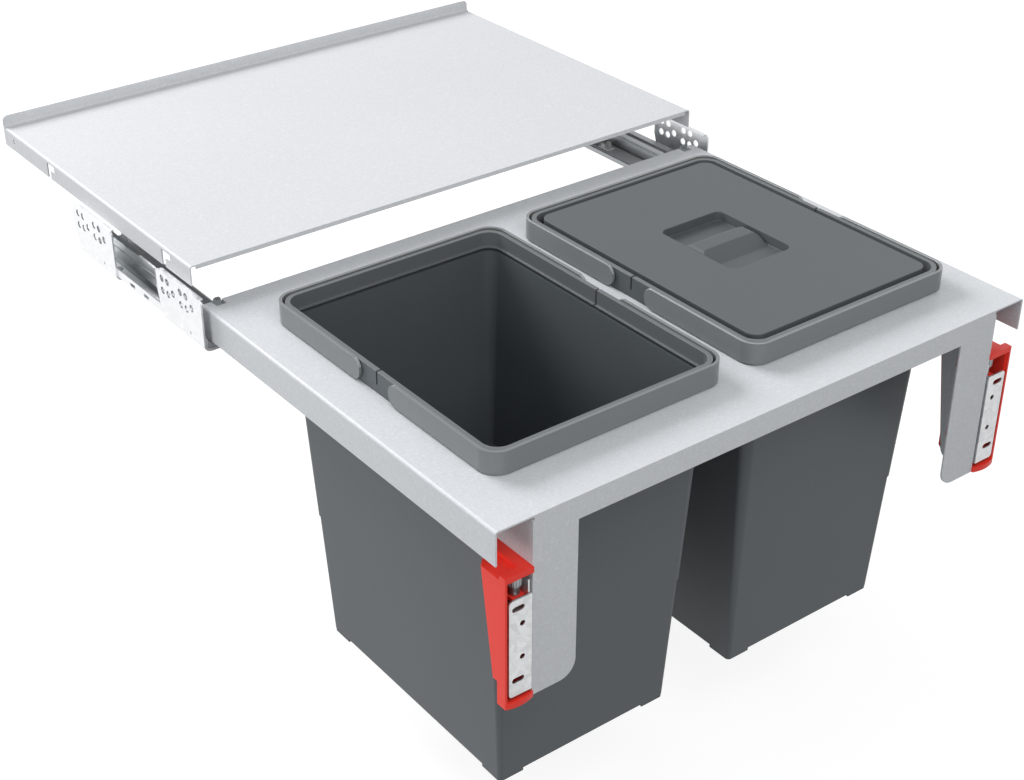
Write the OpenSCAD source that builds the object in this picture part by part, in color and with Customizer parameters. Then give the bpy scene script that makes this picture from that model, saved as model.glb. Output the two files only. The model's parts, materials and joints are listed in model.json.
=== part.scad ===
// Two-bin pull-out waste unit for a 600 mm kitchen cabinet, shown pulled out.
// X runs across the width, +Y towards the back of the cabinet, +Z up.
// The origin is the centre of the fixed shelf's top face.

/* [Cabinet fit] */
// Clear width between the cabinet's side walls
opening_w = 562; // [556:1:568]
// Distance that the drawer travels from open to closed
drawer_travel = 378; // [330:1:385]
// Distance from the cabinet's front edge to the first screw column
screw_setback = 37; // [34:1:42]
// Distance from the cabinet's front edge to the mounting plates
plate_setback = 11; // [8:1:14]
// Distance from the cabinet's front edge to the shelf
shelf_setback = 35; // [30:1:45]

/* [Shelf] */
// Gap between the fixed shelf and each cabinet wall
shelf_gap = 5.5; // [5:0.25:7]
// Depth of the fixed shelf
shelf_d = 370; // [360:1:380]
// Thickness of the shelf sheet
shelf_t = 1.2; // [1:0.1:1.5]
// Height of the shelf's side flanges
shelf_flange_h = 18; // [16:0.5:19]
// Height of the upstand at the shelf's rear edge
shelf_lip_h = 11; // [8:0.5:16]
// Height of the fold at the shelf's front edge
shelf_fold_h = 4; // [3:0.5:6]
// Distance from the shelf's front edge to its first hanging notch
notch_setback = 44; // [40:1:60]
// Distance between the two hanging notches on one side
notch_pitch = 224; // [192:1:256]
// Drop from the shelf's top face to the tray's top face
shelf_drop = 32; // [31:0.5:36]

/* [Tray] */
// Gap between the tray frame and each cabinet wall
tray_gap = 8; // [7:0.5:9]
// Depth of the tray frame
tray_d = 403; // [395:1:405]
// Thickness of the tray sheet
tray_t = 1.5; // [1.2:0.1:1.6]
// Height of the tray's side flanges
tray_flange_h = 29; // [26:0.5:30]
// Height of the tray's front apron
apron_h = 20; // [16:0.5:26]
// Width of each front leg
leg_w = 40.5; // [34:0.5:46]
// Distance from the tray's side to the outer edge of a leg
leg_inset = 32.5; // [32:0.5:34]
// Reach of the legs below the tray's top face
leg_h = 159; // [156:1:170]
// Depth of the leg's return flange at its top
return_top_d = 50; // [48:0.5:51]
// Depth of the leg's return flange at its foot
return_foot_d = 34.5; // [33:0.5:36]

/* [Bins] */
// Width over the bin handles
rim_w = 225; // [220:0.5:228]
// Depth over the bin handles
rim_d = 297; // [290:0.5:300]
// Height of the handles above the tray
rim_h = 20.2; // [19:0.2:22]
// Distance between the centres of the two bins
bin_pitch = 252; // [248:0.5:254]
// Distance from the tray's front edge to the bins' middle
bin_mid_y = 198.5; // [195:0.5:202]
// Reach of the bins below the tray's top face
bin_depth = 317; // [280:1:340]
// Draft of one bin wall from its mouth to its foot
bin_taper = 16; // [10:0.5:18]
// Wall thickness of a bin
bin_wall = 2; // [1.6:0.1:2.6]
// Corner radius of the handles' outer outline
rim_r = 17; // [14:0.5:22]
// Thickness of a handle
handle_t = 2.6; // [2.4:0.1:3]
// Gap between the ends of the front and the rear handle
handle_gap = 39; // [34:1:48]
// Radius of the pegs that carry the handles
peg_r = 2.5; // [2:0.1:3]

/* [Lid] */
// Width of the seating flange around the lid's raised plate
lid_border = 5.1; // [4:0.1:8]
// Thickness of the lid's walls
lid_t = 2; // [1.6:0.1:2.4]
// Width of the lid's grip pocket
pocket_w = 70; // [60:1:90]
// Depth of the lid's grip pocket, front to back
pocket_d = 91; // [76:1:110]
// Depth of the pocket below the lid's top
pocket_h = 9; // [7:0.5:10]

/* [Runners] */
// Height of the mounting plates above the tray's top face
plate_top_h = 11.5; // [10:0.5:12]
// Length of one mounting plate
plate_len = 78; // [74:1:84]
// Distance between the front and the rear mounting plate
plate_pitch = 160; // [150:1:176]
// Thickness of the mounting plates
plate_t = 1.5; // [1.2:0.1:1.6]
// Radius of the screw holes in the mounting plates
screw_r = 3.3; // [3:0.1:3.5]
// Distance between the two groups of holes on one plate
group_pitch = 32; // [31:0.5:33]
// Distance from the cabinet wall to the runner's middle
runner_inset = 22; // [21.6:0.1:22.2]
// Wall thickness of the rails
rail_t = 1.5; // [1.3:0.1:1.6]
// Length of the middle rails
middle_len = 300; // [290:1:320]
// Distance that the middle rail's rear end stays inside the fixed rail
middle_grip = 145; // [135:1:150]
// Radius of the bearing balls
ball_r = 1.5; // [1.4:0.05:1.55]
// Balls on each side of a cage
ball_count = 6; // [4:1:7]

/* [Front fixings] */
// Width of the door plates
door_w = 20.4; // [18:0.2:21]
// Height of the door plates
door_h = 86.5; // [84:0.5:88]
// Drop from the tray's top face to the door plate's top edge
door_drop = 64; // [63:0.5:67]
// Distance between the two slots of a door plate
slot_pitch = 64; // [60:1:66]
// Distance between the two screw holes of a door plate
hole_pitch = 30; // [26:1:34]
// Radius of the two screw holes of a door plate
hole_r = 2.25; // [2:0.05:2.6]
// Width of the plastic adjuster housings
housing_w = 25.5; // [25:0.5:27]
// Radius of the height-adjusting screw's thread
thread_r = 3; // [2.5:0.1:3.2]

/* [Hidden] */

$fn = 48;
LEFT = -1;
RIGHT = 1;
FRONT = -1;
REAR = 1;

// Finishes
ZINC = [0.76, 0.78, 0.80];
ZINC_PALE = [0.86, 0.87, 0.89];
ZINC_DARK = [0.52, 0.54, 0.55];
BIN_GREY = [0.35, 0.37, 0.38];
RIM_GREY = [0.49, 0.52, 0.53];
LID_GREY = [0.42, 0.44, 0.45];
DAMPER_GREY = [0.38, 0.40, 0.41];
CATCH_GREY = [0.82, 0.82, 0.80];
SIGNAL_RED = [0.88, 0.25, 0.19];
BRASS = [0.72, 0.60, 0.36];
STEEL = [0.62, 0.63, 0.64];

// Overrun of every cut and thickness of a hull's end slices
over = 1;
slice_t = 0.02;
// Running gap between plastic parts and between a pin and its bore
seat_gap = 0.3;
pin_gap = 0.05;

// Datums
wall_x = opening_w / 2;
shelf_w = opening_w - 2 * shelf_gap;
tray_w = opening_w - 2 * tray_gap;
cabinet_front_y = -shelf_d / 2 - shelf_setback;
tray_front_y = cabinet_front_y - drawer_travel;
tray_top_z = -shelf_drop;
tray_rear_y = tray_front_y + tray_d;

// Shelf details
bend_r = 2.5;
lip_corner_r = 5;
lip_fold_r = 2.5;
fold_setback = 6;
notch_slot_w = 6;
notch_arm = 9;
notch_arm_h = 7;
notch_top_gap = 3.5;
lip_hole_r = 2.2;
lip_hole_setback = 22;
lip_hole_drop = 8;

// Mounting plate details
plate_bottom_z = -36.5;
plate_lip_w = 3;
plate_corner_r = 4;
plate_fold_r = 6;
plate_bevel_d = 16;
plate_bevel_h = 26;
plate_foot_w = 27;
column_pitch = 9.6;
upper_row_z = 5.2;
lower_row_z = -6.3;
odd_hole_dy = -9;
odd_hole_z = -2.1;
pilot_hole_r = 1.4;
pilot_hole_dy = 23;
pilot_hole_z = -27.4;

// Runner details, measured from the runner's middle plane and the tray's top
base_inner_w = 45;
base_lip_h = 3;
base_wall_h = 11;
base_front_w = 39;
base_front_l = 43;
core_w = 4.4;
core_top_z = -14;
middle_w = 11.8;
middle_top_z = -9;
middle_bottom_z = -27.5;
middle_r = 3;
drawer_rail_w = 19.2;
drawer_bottom_z = -26;
drawer_rail_front = 36;
drawer_rail_r = 2.5;
lip_gap = 1;
cage_t = 0.8;
cage_len = 110;
ball_pitch = 18;
inner_ball_z = -22;
outer_ball_z = -17;
inner_cage_bottom_z = -25.5;
outer_cage_bottom_z = -24;
window_l = 9;
window_h = 3.5;
window_pitch = 26;
window_setback = 136;
window_lift = 2.5;
rivet_r = 1.6;
rivet_head_r = 3;
rivet_head_h = 1;
rivet_inset = 11;
hook_w = 7;
hook_h = 3;
hook_slot_w = 10;
hook_slot_d = 9;
arm_w = 2.5;
arm_t = 2;

// Damper details
damper_w = 18;
damper_h = 4;
damper_len = 160;
damper_setback = 46;
damper_slot_w = 5;
damper_slot_h = 2.6;
catch_travel = 40;
catch_len = 16;
catch_setback = 102;
catch_fork_w = 6;
catch_prong_t = 1.5;
catch_prong_l = 6;
catch_prong_h = 6;

// Tray details
rear_flange_h = 12;
rear_flange_inset = 37;
leg_r = 15;
leg_notch = 3;
return_r = 9;
catch_slot_w = 4;
catch_slot_h = 11;
catch_slot_y = 27;
catch_slot_drops = [57, 126.5];
cutout_gap = 1;

// Bin details
handle_clear = 0.6;
collar_t = 2.2;
collar_r = 18;
ledge_w = 4.8;
ledge_t = 2;
body_r = 12;
foot_r = 4;
waist_drop = 190;
waist_step = 0.8;
foot_h = 3;
foot_w = 24;
slit_w = 1.8;
slit_h = 11;
peg_z = 12;
peg_end = 6.5;
peg_reach = 1.8;
handle_lift = 0.9;
handle_end_flat = 0.8;
ring_t = 1.8;
ring_drop = 1.2;
ring_top_t = 0.8;
ring_shelf_w = 1.8;
ring_shelf_t = 1.5;
ring_foot_gap = 2.4;

// Lid details
lid_top_z = 19.3;
lid_r = 11;
pocket_r = 7;
pocket_dy = 3.5;
grip_dy = 2.75;
grip_top_d = 14;
grip_foot_d = 47;
grip_l = 54;
grip_end_r = 5;

// Front fixing details
door_t = 1.5;
door_proud = 1.6;
door_r = 3;
door_tab_h = 10;
door_side_d = 25;
door_side_gap = 1.5;
slot_l = 11;
slot_h = 4.5;
slot_edge = 8;
slot_dx = 2;
hole_edge = 22.5;
hole_dx = -1.7;
housing_drop = 42;
housing_wall = 2;
housing_roof = 5;
housing_shoulder_drop = 138;
housing_foot_drop = 159;
housing_top_d = 52;
housing_low_d = 38;
housing_face_d = 27;
stem_face_d = 8;
stem_floor_t = 3;
recess_h = 4;
recess_front = 5.5;
recess_side = 9;
ledge_lip_h = 5;
ledge_lip_d = 2.5;
screw_dx = 9;
screw_y = 9.5;
wheel_r = 5.5;
wheel_gap = 0.3;
wheel_flutes = 16;
flute_r = 0.6;
wheel_h = 12;
neck_r = 4;
shelf_plate_t = 3;
shelf_plate_setback = 4;
shelf_plate_drop = 67.5;
nut_tab_t = 3;
nut_tab_drop = 75;
nut_tab_w = 12;
nut_tab_d = 13;
thread_end_drop = 84;

// Derived runner widths
runner_x = wall_x - runner_inset;
rail_base_z = plate_bottom_z + plate_t;
inner_ball_x = (middle_w / 2 - rail_t + core_w / 2) / 2;
outer_ball_x = (middle_w / 2 + drawer_rail_w / 2 - rail_t) / 2;
front_plate_y = cabinet_front_y + plate_setback;
rear_plate_y = front_plate_y + plate_pitch;
fixed_rail_len = plate_pitch + plate_len;
middle_rear_y = front_plate_y + middle_grip;
middle_front_y = middle_rear_y - middle_len;
inner_cage_y = front_plate_y + (middle_grip - cage_len) / 2;
outer_cage_y = middle_front_y + (tray_rear_y - middle_front_y - cage_len) / 2;
drawer_rail_len = tray_d - drawer_rail_front;
rivet_y_shares = [0.25, 0.75];
inner_cage_top_z = (core_top_z + middle_top_z - rail_t + cage_t) / 2;
outer_cage_top_z = (middle_top_z - tray_t - rail_t + cage_t) / 2;

// Derived damper places
damper_mid_x = wall_x - base_inner_w + rail_t + damper_w / 3;
damper_top_z = rail_base_z + rail_t + damper_h;
catch_y = front_plate_y + catch_setback;
catch_half_w = catch_fork_w / 2 + catch_prong_t;
arm_y = catch_y + (catch_len - arm_w) / 2 - (drawer_travel - catch_travel);
arm_foot_z = damper_top_z + seat_gap + rail_t + lip_gap;
arm_top_z = damper_top_z + seat_gap + catch_prong_h + lip_gap + arm_t;

// Derived bin sizes
collar_w = rim_w - 2 * (handle_t + handle_clear);
collar_d = rim_d - 2 * (handle_t + handle_clear);
ring_top_z = rim_h - ring_drop;
handle_end_r = (rim_h - handle_lift - handle_end_flat) / 2;
collar_h = ring_top_z - ring_top_t;
body_w = collar_w - 2 * ledge_w;
body_d = collar_d - 2 * ledge_w;
foot_span_w = body_w - 2 * (bin_taper + waist_step);
foot_span_d = body_d - 2 * (bin_taper + waist_step);
ring_w = collar_w - 2 * (collar_t + seat_gap);
ring_d = collar_d - 2 * (collar_t + seat_gap);
ring_r = collar_r - collar_t - seat_gap;
ring_foot_z = ledge_t + ring_foot_gap;
mouth_w = ring_w - 2 * ring_t;
mouth_d = ring_d - 2 * ring_t;
lid_seat_z = ring_foot_z + ring_shelf_t;
lid_w = mouth_w - 2 * (seat_gap + lid_border);
lid_d = mouth_d - 2 * (seat_gap + lid_border);
peg_dy = handle_gap / 2 + peg_end;

// Derived front fixing sizes
leg_outer_x = tray_w / 2 - leg_inset;
leg_inner_x = leg_outer_x - leg_w;
door_inner_x = leg_outer_x + door_side_gap;
screw_x = leg_outer_x + screw_dx;
slot_x = door_inner_x + door_w / 2 + slot_dx;
hole_x = door_inner_x + door_w / 2 + hole_dx;
ledge_lip_r = (pow(housing_w / 2, 2) + pow(ledge_lip_d, 2)) / (2 * ledge_lip_d);
housing_tilt = atan((housing_top_d - housing_low_d) / (housing_shoulder_drop - housing_drop));

// Box between pairs of low and high coordinates
module slab(x, y, z)
    translate([x[0], y[0], z[0]]) cube([x[1] - x[0], y[1] - y[0], z[1] - z[0]]);

// Rounded rectangle about the origin
module rounded(w, d, r) {
    square([w - 2 * r, d], center = true);
    square([w, d - 2 * r], center = true);
    for (sx = [-1, 1], sy = [-1, 1])
        translate([sx * (w / 2 - r), sy * (d / 2 - r)]) circle(r);
}

// Rectangle that hangs down from the origin, with its two top corners round
module crown(w, h, r) {
    translate([-w / 2, -h]) square([w, h - r]);
    translate([-w / 2 + r, -h]) square([w - 2 * r, h]);
    for (sx = [-1, 1]) translate([sx * (w / 2 - r), -r]) circle(r);
}

// Folded sheet profile: a flat top with a flange down each side
module folded(w, h, t, r)
    difference() {
        crown(w, h, r);
        translate([0, -t]) crown(w - 2 * t, h + over, r - t);
    }

// Extrudes an (x, z) outline along +Y from y0
module along_y(y0, len) translate([0, y0 + len, 0]) rotate([90, 0, 0]) linear_extrude(len) children();

// Extrudes a (y, z) outline along +X from x0
module along_x(x0, len) translate([x0, 0, 0]) rotate([90, 0, 90]) linear_extrude(len) children();

// Places what is modelled for the right-hand side on either side
module on_side(side)
    if (side == LEFT) mirror([1, 0, 0]) children();
    else children();

// Moves from the tray's own datum, the middle of its front top edge, to the part's origin
module at_tray() translate([0, tray_front_y, tray_top_z]) children();

// Moves heights measured from the tray's top face to the part's origin
module at_tray_height() translate([0, 0, tray_top_z]) children();

module shelf_cover()
    color(ZINC) difference() {
        union() {
            along_y(-shelf_d / 2, shelf_d) folded(shelf_w, shelf_flange_h, shelf_t, bend_r);
            translate([0, shelf_d / 2, 0]) along_y(-shelf_t, shelf_t)
                translate([0, shelf_lip_h]) crown(shelf_w, shelf_lip_h + shelf_t, lip_corner_r);
            translate([0, shelf_d / 2 - shelf_t - lip_fold_r, 0]) along_x(-shelf_w / 2, shelf_w) difference() {
                translate([0, -shelf_t / 2]) square([lip_fold_r + shelf_t / 2, lip_fold_r + shelf_t / 2]);
                translate([0, lip_fold_r]) circle(lip_fold_r);
            }
            slab([-shelf_w / 2 + fold_setback, shelf_w / 2 - fold_setback],
                 [-shelf_d / 2, -shelf_d / 2 + shelf_t], [-shelf_fold_h, -shelf_t / 2]);
        }
        for (i = [0, 1]) translate([0, -shelf_d / 2 + notch_setback + i * notch_pitch, 0]) {
            slab([-shelf_w, shelf_w], [0, notch_slot_w], [-shelf_flange_h - over, -notch_top_gap]);
            slab([-shelf_w, shelf_w], [-notch_arm, notch_slot_w],
                 [-notch_top_gap - notch_arm_h, -notch_top_gap]);
        }
        translate([-shelf_w, shelf_d / 2 - lip_hole_setback, -lip_hole_drop])
            rotate([0, 90, 0]) cylinder(h = 2 * shelf_w, r = lip_hole_r);
    }

// Quarter of a round fold between the cabinet wall and the plates' feet, r outside and t thick
module fold(r, t)
    translate([wall_x - plate_fold_r, plate_bottom_z + plate_fold_r]) intersection() {
        difference() {
            circle(r);
            circle(r - t);
        }
        translate([0, -r]) square(r);
    }

// What a round fold leaves off the square corner outside it
module fold_corner(r)
    translate([wall_x - plate_fold_r, plate_bottom_z + plate_fold_r]) difference() {
        translate([0, -r - over]) square(r + over);
        circle(r);
    }

// Perforated plate screwed to the cabinet wall, with its foot under the fixed rail
module mount_plate(side, y0)
    color(ZINC_PALE) on_side(side) at_tray_height() difference() {
        union() {
            along_y(y0, plate_len - plate_bevel_d) fold(plate_fold_r, plate_t);
            along_x(wall_x - plate_t, plate_t) difference() {
                translate([y0 + plate_len / 2, plate_top_h])
                    crown(plate_len, plate_top_h - plate_bottom_z, plate_corner_r);
                polygon([
                    [y0 + plate_len, plate_bottom_z + plate_bevel_h],
                    [y0 + plate_len + over, plate_bottom_z + plate_bevel_h],
                    [y0 + plate_len + over, plate_bottom_z - over],
                    [y0 + plate_len - plate_bevel_d, plate_bottom_z - over],
                    [y0 + plate_len - plate_bevel_d, plate_bottom_z],
                    [y0 + plate_len - plate_bevel_d / 2, plate_bottom_z + plate_t]
                ]);
            }
            slab([wall_x - plate_foot_w, wall_x - plate_t / 2],
                 [y0, y0 + plate_len - plate_bevel_d], [plate_bottom_z, plate_bottom_z + plate_t]);
            slab([wall_x - plate_t - plate_lip_w, wall_x - plate_t / 2],
                 [y0 + plate_corner_r, y0 + plate_len - plate_corner_r],
                 [plate_top_h - plate_t, plate_top_h]);
        }
        translate([wall_x - plate_t - over, y0 + screw_setback - plate_setback, 0])
            rotate([0, 90, 0]) for (g = [0, 1]) translate([0, g * group_pitch, 0]) {
                for (c = [0, 1], z = [upper_row_z, lower_row_z])
                    translate([-z, c * column_pitch, 0]) cylinder(h = plate_t + 2 * over, r = screw_r);
                translate([-odd_hole_z, odd_hole_dy, 0]) cylinder(h = plate_t + 2 * over, r = screw_r);
            }
        along_y(y0 - over, plate_len + 2 * over) fold_corner(plate_fold_r);
        translate([wall_x - plate_t - over, y0 + pilot_hole_dy, pilot_hole_z])
            rotate([0, 90, 0]) cylinder(h = plate_t + 2 * over, r = pilot_hole_r);
        rivet_holes();
    }

// Cabinet rail: a folded base with the upright core that the balls run on
module fixed_rail(side)
    color(ZINC) on_side(side) at_tray_height() difference() {
        union() {
            along_y(front_plate_y, fixed_rail_len) fold(plate_fold_r - plate_t, rail_t);
            slab([wall_x - base_inner_w, wall_x - plate_t],
                 [front_plate_y, front_plate_y + fixed_rail_len], [rail_base_z, rail_base_z + rail_t]);
            slab([wall_x - plate_t - rail_t, wall_x - plate_t],
                 [front_plate_y, front_plate_y + fixed_rail_len], [rail_base_z, rail_base_z + base_wall_h]);
            slab([wall_x - base_inner_w, wall_x - base_inner_w + rail_t],
                 [front_plate_y, front_plate_y + fixed_rail_len],
                 [rail_base_z, rail_base_z + rail_t + base_lip_h]);
            slab([runner_x - core_w / 2, runner_x + core_w / 2],
                 [front_plate_y, front_plate_y + fixed_rail_len], [rail_base_z + rail_t / 2, core_top_z]);
        }
        along_y(front_plate_y - over, fixed_rail_len + 2 * over) {
            fold_corner(plate_fold_r - plate_t);
            for (s = [-1, 1]) translate([runner_x + s * inner_ball_x, inner_ball_z])
                circle(ball_r + pin_gap);
        }
        slab([wall_x - base_inner_w - over, wall_x - base_front_w],
             [front_plate_y - over, front_plate_y + base_front_l],
             [rail_base_z - over, rail_base_z + rail_t + base_lip_h + over]);
        for (i = [0, 1]) translate([0, front_plate_y + window_setback - i * window_pitch, rail_base_z + rail_t + window_lift])
            slab([wall_x - plate_t - rail_t - over, wall_x], [-window_l, 0], [0, window_h]);
        rivet_holes();
    }

// Places what stands on the underside of the plates' feet at each rivet
module at_rivets()
    for (y0 = [front_plate_y, rear_plate_y], share = rivet_y_shares)
        translate([wall_x - rivet_inset, y0 + share * (plate_len - plate_bevel_d), plate_bottom_z]) children();

// Rivets that join the fixed rail's base to the feet of the two plates
module plate_rivets(side)
    color(STEEL) on_side(side) at_tray_height() at_rivets() {
        translate([0, 0, -rivet_head_h]) cylinder(h = rivet_head_h, r = rivet_head_r);
        cylinder(h = plate_t + rail_t, r = rivet_r);
        translate([0, 0, plate_t + rail_t]) cylinder(h = rivet_head_h, r = rivet_head_r);
    }

module rivet_holes() at_rivets()
    translate([0, 0, -over]) cylinder(h = plate_t + rail_t + 2 * over, r = rivet_r + pin_gap);

// Soft-close unit clipped on the inner part of the fixed rail's base
module damper_housing(side)
    color(DAMPER_GREY) on_side(side) at_tray_height() difference() {
        slab([wall_x - base_inner_w + rail_t, wall_x - base_inner_w + rail_t + damper_w],
             [front_plate_y + damper_setback, front_plate_y + damper_setback + damper_len],
             [rail_base_z + rail_t, rail_base_z + rail_t + damper_h]);
        slab([damper_mid_x - damper_slot_w / 2, damper_mid_x + damper_slot_w / 2],
             [catch_y - seat_gap, catch_y + catch_len + catch_travel + 2 * seat_gap],
             [damper_top_z - damper_slot_h, damper_top_z + over]);
    }

// Sliding fork that takes the drawer's arm over the last stretch
module damper_catch(side)
    color(CATCH_GREY) on_side(side) at_tray_height() {
        slab([damper_mid_x - damper_slot_w / 2 + seat_gap, damper_mid_x + damper_slot_w / 2 - seat_gap],
             [catch_y, catch_y + catch_len], [damper_top_z - damper_slot_h + seat_gap, damper_top_z + seat_gap]);
        slab([damper_mid_x - catch_half_w, damper_mid_x + catch_half_w],
             [catch_y, catch_y + catch_len], [damper_top_z + seat_gap, damper_top_z + seat_gap + rail_t]);
        for (s = [-1, 1]) translate([damper_mid_x + s * (catch_half_w - catch_prong_t / 2), 0, 0])
            along_x(-catch_prong_t / 2, catch_prong_t)
                translate([catch_y + catch_len / 2, damper_top_z + seat_gap + catch_prong_h])
                    crown(catch_prong_l, catch_prong_h, catch_prong_l / 3);
    }

// Channel with its mouth down and two lips turned in
module channel(w, top_z, bottom_z, r, inner_half)
    difference() {
        translate([0, top_z]) crown(w, top_z - bottom_z, r);
        translate([0, top_z - rail_t]) crown(w - 2 * rail_t, top_z - bottom_z - 2 * rail_t, r - rail_t);
        translate([-inner_half, bottom_z - over]) square([2 * inner_half, rail_t + 2 * over]);
    }

module middle_rail(side)
    color(ZINC_DARK) on_side(side) at_tray_height() along_y(middle_front_y, middle_len)
        translate([runner_x, 0]) difference() {
            channel(middle_w, middle_top_z, middle_bottom_z, middle_r, core_w / 2 + lip_gap);
            for (s = [-1, 1]) {
                translate([s * inner_ball_x, inner_ball_z]) circle(ball_r + pin_gap);
                translate([s * outer_ball_x, outer_ball_z]) circle(ball_r + pin_gap);
            }
        }

// Thin saddle with a row of ball pockets in each side
module cage(top_z, bottom_z, ball_x, ball_z, y0)
    difference() {
        along_y(y0, cage_len) difference() {
            translate([0, top_z]) crown(2 * ball_x + cage_t, top_z - bottom_z, 2 * cage_t);
            translate([0, top_z - cage_t])
                crown(2 * ball_x - cage_t, top_z - bottom_z, cage_t);
        }
        for (i = [0 : ball_count - 1])
            translate([-ball_x - cage_t, ball_y(y0, i), ball_z]) rotate([0, 90, 0])
                cylinder(h = 2 * (ball_x + cage_t), r = ball_r + pin_gap);
    }

module balls(ball_x, ball_z, y0)
    for (s = [-1, 1], i = [0 : ball_count - 1])
        translate([s * ball_x, ball_y(y0, i), ball_z]) sphere(ball_r);

function ball_y(y0, i) = y0 + cage_len / 2 + (i - (ball_count - 1) / 2) * ball_pitch;

module inner_cage(side) color(BRASS) on_side(side) at_tray_height() translate([runner_x, 0, 0])
    cage(inner_cage_top_z, inner_cage_bottom_z, inner_ball_x, inner_ball_z, inner_cage_y);

module outer_cage(side) color(BRASS) on_side(side) at_tray_height() translate([runner_x, 0, 0])
    cage(outer_cage_top_z, outer_cage_bottom_z, outer_ball_x, outer_ball_z, outer_cage_y);

module inner_balls(side) color(STEEL) on_side(side) at_tray_height() translate([runner_x, 0, 0])
    balls(inner_ball_x, inner_ball_z, inner_cage_y);

module outer_balls(side) color(STEEL) on_side(side) at_tray_height() translate([runner_x, 0, 0])
    balls(outer_ball_x, outer_ball_z, outer_cage_y);

// Tray rail with its rear hook and the arm that runs into the damper's fork
module drawer_rail(side)
    color(ZINC) on_side(side) at_tray() {
        along_y(drawer_rail_front, drawer_rail_len) translate([runner_x, 0]) difference() {
            channel(drawer_rail_w, -tray_t, drawer_bottom_z, drawer_rail_r, middle_w / 2 + lip_gap);
            for (s = [-1, 1]) translate([s * outer_ball_x, outer_ball_z]) circle(ball_r + pin_gap);
        }
        along_y(tray_d - rail_t, rail_t) translate([runner_x, hook_h])
            crown(hook_w, hook_h + tray_t + rail_t / 2, hook_w / 3);
        translate([0, arm_y - tray_front_y, 0]) {
            slab([damper_mid_x - arm_w / 2, runner_x - drawer_rail_w / 2 + rail_t / 2],
                 [0, arm_w], [arm_top_z - arm_t, arm_top_z]);
            slab([damper_mid_x - arm_w / 2, damper_mid_x + arm_w / 2], [0, arm_w], [arm_foot_z, arm_top_z]);
        }
    }

// Outline of a leg in the front plane
module leg_outline()
    difference() {
        union() {
            translate([leg_inner_x, -leg_h]) square([leg_w, leg_h]);
            translate([leg_outer_x - tray_t, -leg_h]) square([tray_t, leg_h]);
        }
        translate([leg_inner_x, -leg_h]) difference() {
            translate([-over, -over]) square([leg_r + over, leg_r + over]);
            translate([leg_r, leg_r]) circle(leg_r);
        }
        translate([leg_outer_x - leg_notch / 2, -tray_t - leg_notch]) square([leg_notch, leg_notch]);
    }

// Outline of a leg's return flange, seen from the side
module return_outline()
    difference() {
        union() {
            polygon([[0, -tray_t / 2], [return_top_d, -tray_t / 2], [return_top_d, -housing_drop],
                     [return_foot_d, -leg_h + return_r],
                     [return_foot_d - return_r, -leg_h + return_r], [return_foot_d - return_r, -leg_h], [0, -leg_h]]);
            translate([return_foot_d - return_r, -leg_h + return_r]) circle(return_r);
        }
        for (drop = catch_slot_drops)
            translate([catch_slot_y, -drop - catch_slot_h]) square([catch_slot_w, catch_slot_h]);
    }

module tray_frame()
    color(ZINC) at_tray() {
        difference() {
            along_y(0, tray_d) folded(tray_w, tray_flange_h, tray_t, bend_r);
            for (s = [-1, 1]) {
                translate([s * bin_pitch / 2, bin_mid_y, -tray_t - over])
                    linear_extrude(tray_t + 2 * over)
                        rounded(body_w + 2 * cutout_gap, body_d + 2 * cutout_gap, body_r + cutout_gap);
                translate([s * runner_x, 0, 0])
                    slab([-hook_slot_w / 2, hook_slot_w / 2], [tray_d - hook_slot_d, tray_d + over],
                         [-tray_t - over, over]);
            }
        }
        slab([-leg_inner_x - over, leg_inner_x + over], [0, tray_t], [-apron_h, -tray_t / 2]);
        slab([rear_flange_inset - tray_w / 2, tray_w / 2 - rear_flange_inset], [tray_d - tray_t, tray_d],
             [-rear_flange_h, -tray_t / 2]);
        for (side = [LEFT, RIGHT]) on_side(side) {
            along_y(0, tray_t) leg_outline();
            along_x(leg_outer_x - tray_t, tray_t) return_outline();
        }
    }

// Plan of a housing, deep at the leg and shallow outboard, with its back wall drawn in by inset
module wedge_plan(leg_d, face_d, inset) {
    draw_in = inset * norm([housing_w, leg_d - face_d]) / housing_w;
    polygon([[leg_outer_x - over, -housing_top_d], [leg_outer_x + housing_w - inset, -housing_top_d],
             [leg_outer_x + housing_w - inset, face_d - draw_in + inset * (leg_d - face_d) / housing_w],
             [leg_outer_x, leg_d - draw_in], [leg_outer_x - over, leg_d - draw_in]]);
}

// Outer form of an adjuster housing, drawn in by inset: a leaning wedge above a narrow stem
module housing_form(inset) {
    intersection() {
        slab([leg_outer_x, leg_outer_x + housing_w], [-door_proud, housing_top_d],
             [-housing_shoulder_drop - inset, -housing_drop - inset]);
        translate([0, 0, -housing_drop]) rotate([-housing_tilt, 0, 0])
            translate([0, 0, -housing_foot_drop]) linear_extrude(housing_foot_drop + housing_top_d)
                wedge_plan(housing_top_d * cos(housing_tilt), housing_face_d * cos(housing_tilt), inset);
    }
    translate([0, 0, -housing_foot_drop]) intersection() {
        slab([leg_outer_x, leg_outer_x + housing_w], [-door_proud, housing_top_d],
             [inset, housing_foot_drop - housing_shoulder_drop]);
        along_x(leg_outer_x, housing_w) polygon([
            [-door_proud, 0], [housing_low_d - return_r, 0], [housing_low_d, return_r],
            [housing_low_d, housing_foot_drop], [-door_proud, housing_foot_drop]]);
        linear_extrude(housing_foot_drop) wedge_plan(housing_low_d, stem_face_d, inset);
    }
}

clip_y = [catch_slot_y + seat_gap, catch_slot_y + catch_slot_w - seat_gap];
function clip_z(drop) = [-drop - catch_slot_h + seat_gap, -drop - seat_gap];

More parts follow.
